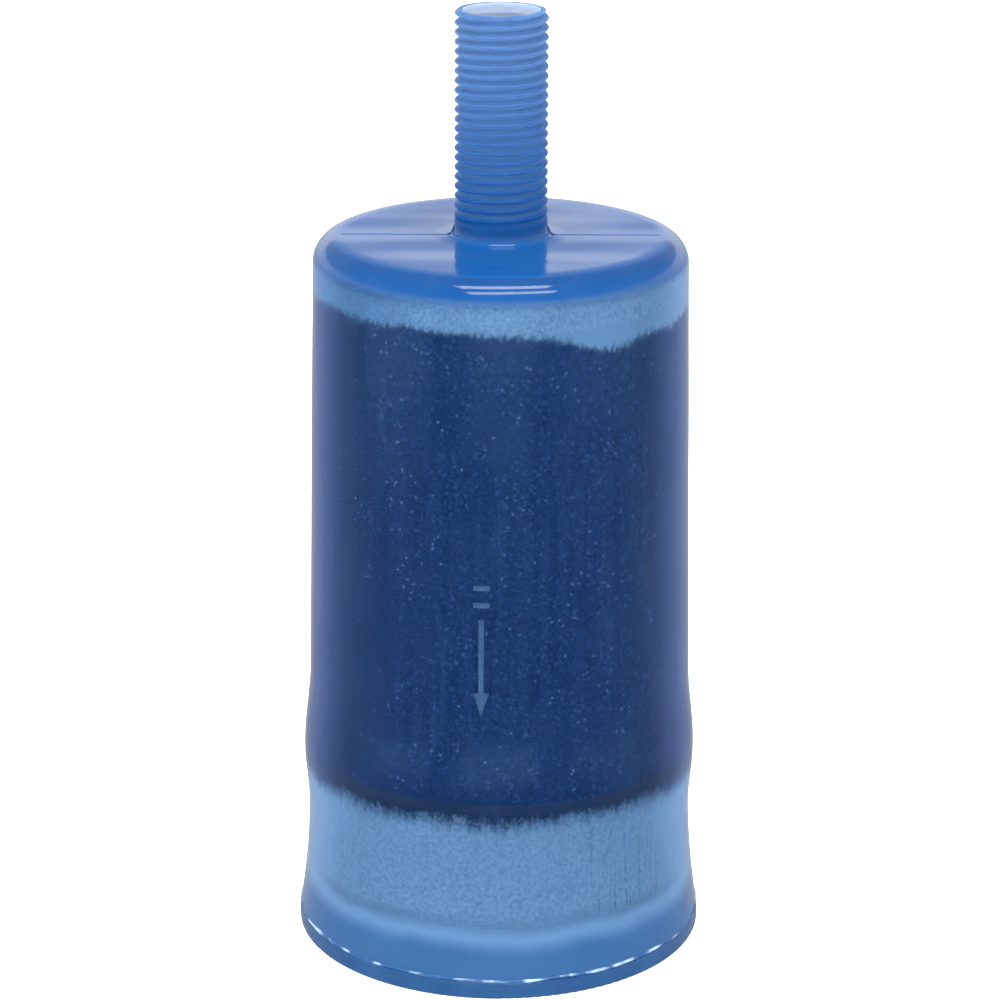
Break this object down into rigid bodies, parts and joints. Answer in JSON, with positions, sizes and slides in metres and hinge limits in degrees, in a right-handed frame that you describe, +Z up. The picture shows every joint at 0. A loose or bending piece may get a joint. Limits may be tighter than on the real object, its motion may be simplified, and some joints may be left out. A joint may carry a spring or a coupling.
{
  "type": "pneumatic muffler",
  "caption": "Cylindrical exhaust muffler with a translucent blue moulded housing, a threaded inlet neck, fibre wraps and felt pads inside, and a perforated end cap.",
  "frame": {"origin": "middle of the foot, on the surface that the end cap stands on", "axes": "+Z up along the body and neck, out of the inlet; -Y is the front, which carries the flow arrow"},
  "size_m": [0.062, 0.062, 0.1419],
  "materials": {
    "blue_housing": "translucent blue polyethylene, glossy",
    "blue_cap": "translucent blue polyethylene, satin",
    "weld_plastic": "whitened weld flash",
    "natural_plastic": "natural, moulded",
    "dark_plastic": "black, moulded",
    "spring_steel": "bright",
    "white_felt": "needled felt",
    "dark_fibre": "wound fibre blanket"
  },
  "bodies": {
    "root": {"shell": "blue_housing", "end_cap": "blue_cap", "weld_bead": "weld_plastic", "outlet_screen": "natural_plastic", "lower_felt_1": "white_felt", "lower_felt_2": "white_felt", "lower_felt_3": "white_felt", "divider_disc": "dark_plastic", "diffuser_plug": "natural_plastic", "diffuser_tube": "natural_plastic", "tube_lock_ring": "spring_steel", "inner_wrap": "white_felt", "middle_wrap": "dark_fibre", "outer_wrap": "dark_fibre", "upper_felt": "white_felt"}
  },
  "joints": []
}
